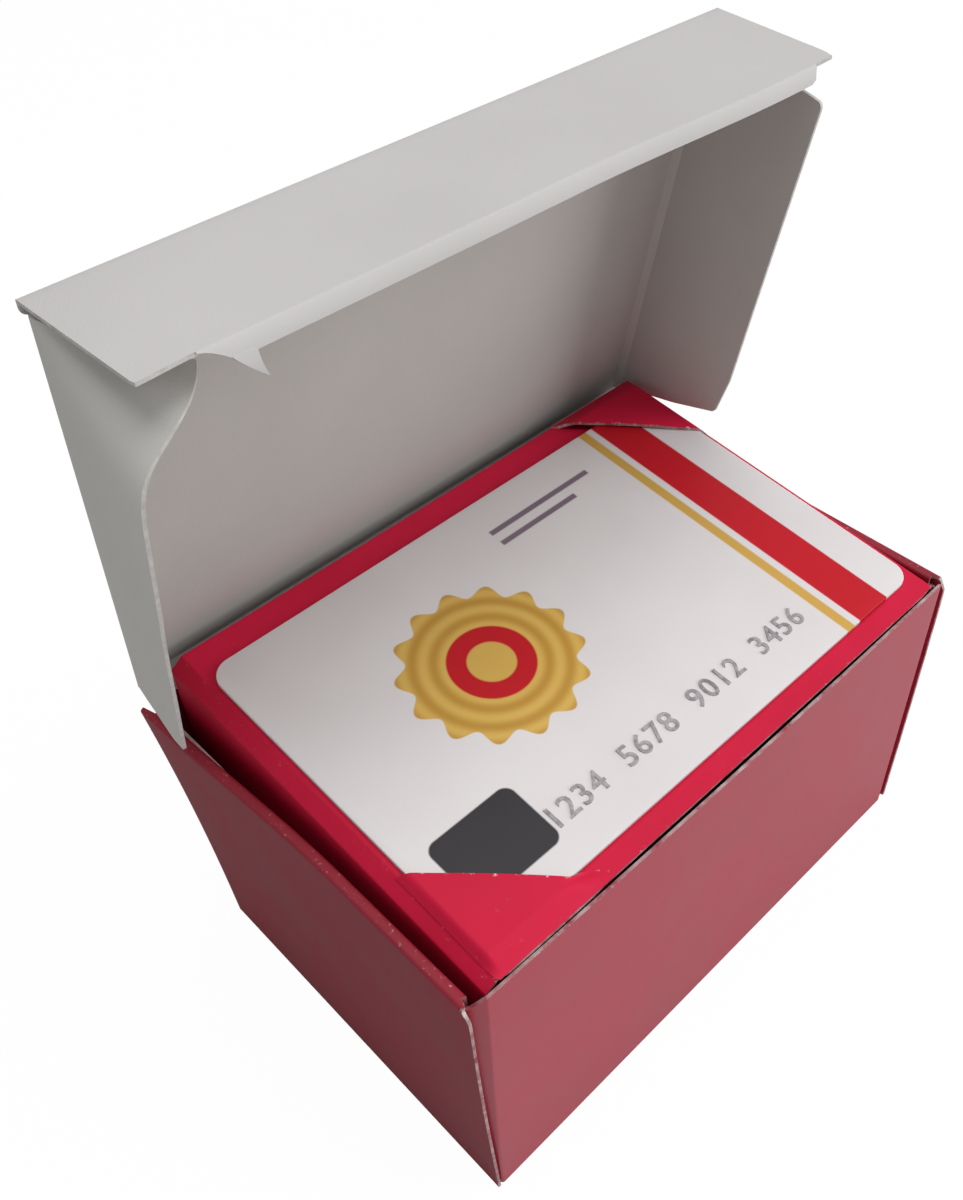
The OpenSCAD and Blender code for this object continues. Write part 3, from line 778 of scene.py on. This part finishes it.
rings = card_rings()
at = np.arange(rings.shape[0] * ROUND).reshape(-1, ROUND)
following = np.roll(at, -1, 1)
sides = np.stack([at[:-1], following[:-1], following[1:], at[1:]], -1).reshape(-1, 4)
card_faces = [list(f) for f in sides] + [list(at[-1]), list(at[0][::-1])]
card_points = rings.reshape(-1, 3)
card = add_piece("card_body", on_platform(card_points + np.array([0, CARD_Y, CARD_UP])), card_faces,
                 np.zeros(len(card_faces), int), (printed,), "card", ("gift_card",), sharp=50)
uv_layer = card.data.uv_layers.new(name="card_mm")
corner_of = np.empty(len(card.data.loops), np.int32)
card.data.loops.foreach_get("vertex_index", corner_of)
uv_layer.data.foreach_set("uv", (card_points[corner_of, :2] * 0.01).astype(np.float32).ravel())

# %% [markdown]
# ## Raised numbers
# Embossed cards carry a row of raised numbers with worn silver tops. Built-in
# letterforms are given a little height and a small bevel, turned into a mesh
# and set on the card's face. The numbers here are a plain counting row.

# %% Raised numbers
silver, silver_tree, silver_shader = new_material("raised_numbers")
on_number = silver_tree.object_place()
scuffed = silver_tree.spread(silver_tree.noise(on_number, 1200, 4), 0.35, 0.6)
silver_tree.feed(silver_shader.inputs["Base Color"],
                  silver_tree.mix(scuffed, (0.22, 0.20, 0.21), (0.40, 0.38, 0.39)))
silver_tree.feed(silver_shader.inputs["Roughness"],
                  silver_tree.spread(silver_tree.noise(on_number, 900, 3), 0.3, 0.7, 0.25, 0.42))


def raised_numbers(name, words, size, x0, y0):
    """Built-in letterforms made a mesh with a little height, set on the card's face."""
    curve = bpy.data.curves.new(name, "FONT")
    curve.body, curve.size, curve.extrude = words, size, 0.09
    curve.bevel_depth, curve.resolution_u, curve.space_character = 0.04, 3, 1.12
    maker = bpy.data.objects.new(name + "_maker", curve)
    bpy.context.scene.collection.objects.link(maker)
    bpy.context.view_layer.update()
    mesh = bpy.data.meshes.new_from_object(maker)
    bpy.data.objects.remove(maker)
    p = np.empty(len(mesh.vertices) * 3)
    mesh.vertices.foreach_get("co", p)
    p = on_platform(p.reshape(-1, 3) + np.array([x0, y0 + CARD_Y, CARD_UP + CARD_THICK + 0.03])) * 0.001
    mesh.vertices.foreach_set("co", p.ravel())
    mesh.materials.clear()
    mesh.materials.append(silver)
    mesh.update()
    piece = bpy.data.objects.new(name, mesh)
    bpy.context.scene.collection.objects.link(piece)
    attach(piece, "card")
    print(name, "is", round(np.ptp(p[:, 0]) * 1000, 1), "mm long")


raised_numbers("raised_numbers_row", "1234  5678  9012  3456", 4.6, -26.0, -21.5)

# %% [markdown]
# ## Camera
# The camera stands where the photograph was taken from: close, high and to
# the front left. Its focal length and the middle of its picture were fitted to
# the box's straight edges, in pixels of a picture 1200 pixels high.

# %% Camera
PICTURE, SENSOR = 1200, 36


def aim_camera(focal_px, azimuth, elevation, roll, distance, target, off_x, off_y):
    """Places the camera on a sphere round the target: back = (sin a cos e, -cos a cos e, sin e)."""
    a, e, r = (math.radians(v) for v in (azimuth, elevation, roll))
    back = Vector((math.sin(a) * math.cos(e), -math.cos(a) * math.cos(e), math.sin(e)))
    side = Vector((0, 0, 1)).cross(back).normalized()
    up = back.cross(side)
    side_r = side * math.cos(r) + up * math.sin(r)
    up_r = up * math.cos(r) - side * math.sin(r)
    data = bpy.data.cameras.new("camera")
    data.sensor_width, data.sensor_fit = SENSOR, "AUTO"
    data.lens = focal_px * SENSOR / PICTURE
    data.shift_x, data.shift_y = -off_x / PICTURE, off_y / PICTURE
    data.clip_start, data.clip_end = 0.005, 20
    camera = bpy.data.objects.new("camera", data)
    bpy.context.scene.collection.objects.link(camera)
    place = Vector(target) + back * distance
    camera.matrix_world = Matrix.Translation(place) @ Matrix((side_r, up_r, back)).transposed().to_4x4()
    bpy.context.scene.camera = camera
    return camera


camera = aim_camera(1174.9, -44.75, 46.89, -1.06, 0.2083, (0.02068, 0.01783, 0.025), 100, 40)
print("lens", round(camera.data.lens, 2), "mm, at", [round(v, 3) for v in camera.matrix_world.translation])

# %% [markdown]
# ## Floor and world
# The floor and the world are white to the camera, as a studio sheet is, while
# to the light they are a pale grey floor and a dim sky. The floor keeps a
# small share of its own shading, so a soft shadow stays under the box.

# %% Floor and world
FLOOR_TONE, FLOOR_GLOW, GLOW_SHARE, SKY = 0.55, 1.03, 0.94, 0.34

floor_mesh = bpy.data.meshes.new("floor")
floor_mesh.from_pydata([(-3, -3, 0), (3, -3, 0), (3, 3, 0), (-3, 3, 0)], [], [(0, 1, 2, 3)])
floor = bpy.data.objects.new("floor", floor_mesh)
bpy.context.scene.collection.objects.link(floor)
floor_paper, floor_tree, floor_shader = new_material("floor_white")
floor_shader.inputs["Base Color"].default_value = (FLOOR_TONE, FLOOR_TONE, FLOOR_TONE, 1)
floor_shader.inputs["Roughness"].default_value = 0.9
glow = floor_tree.nodes.new("ShaderNodeEmission")
glow.inputs["Strength"].default_value = FLOOR_GLOW
both = floor_tree.nodes.new("ShaderNodeMixShader")
to_camera = floor_tree.nodes.new("ShaderNodeLightPath").outputs["Is Camera Ray"]
floor_tree.feed(both.inputs[0], floor_tree.math("MULTIPLY", to_camera, GLOW_SHARE))
floor_tree.feed(both.inputs[1], floor_shader.outputs[0])
floor_tree.feed(both.inputs[2], glow.outputs[0])
floor_out = next(node for node in floor_tree.nodes if node.type == "OUTPUT_MATERIAL")
floor_tree.feed(floor_out.inputs["Surface"], both.outputs[0])
floor_mesh.materials.append(floor_paper)

world = bpy.data.worlds.new("studio")
bpy.context.scene.world = world
world.use_nodes = True
world_tree = Nodes(world.node_tree)
sky = next(node for node in world_tree.nodes if node.type == "BACKGROUND")
sky.inputs["Color"].default_value = (1, 1, 1, 1)
seen = world_tree.nodes.new("ShaderNodeLightPath").outputs["Is Camera Ray"]
world_tree.feed(sky.inputs["Strength"], world_tree.spread(seen, 0, 1, SKY, 1.0))
print("floor tone", FLOOR_TONE, "and sky", SKY, "for the light")

# %% [markdown]
# ## Lamps
# A large lamp above gives the tops and the lid their even light, and one to
# the right front gives the front wall its sheen and leaves the left wall dark.

# %% Lamps
def soft_lamp(name, place, aim, size, watts):
    """A square area lamp that looks at a point."""
    data = bpy.data.lights.new(name, "AREA")
    data.energy, data.size = watts, size
    lamp = bpy.data.objects.new(name, data)
    bpy.context.scene.collection.objects.link(lamp)
    lamp.location = place
    lamp.rotation_euler = (Vector(place) - Vector(aim)).to_track_quat("Z", "Y").to_euler()
    print(name, "gives", watts, "W from", place)


soft_lamp("overhead_lamp", (0.02, -0.14, 0.9), (0, 0, 0.05), 0.7, 4.6)
soft_lamp("right_front_lamp", (0.75, -0.75, 0.45), (0, 0, 0.04), 0.6, 6.2)

bpy.context.scene.view_settings.view_transform = "Standard"
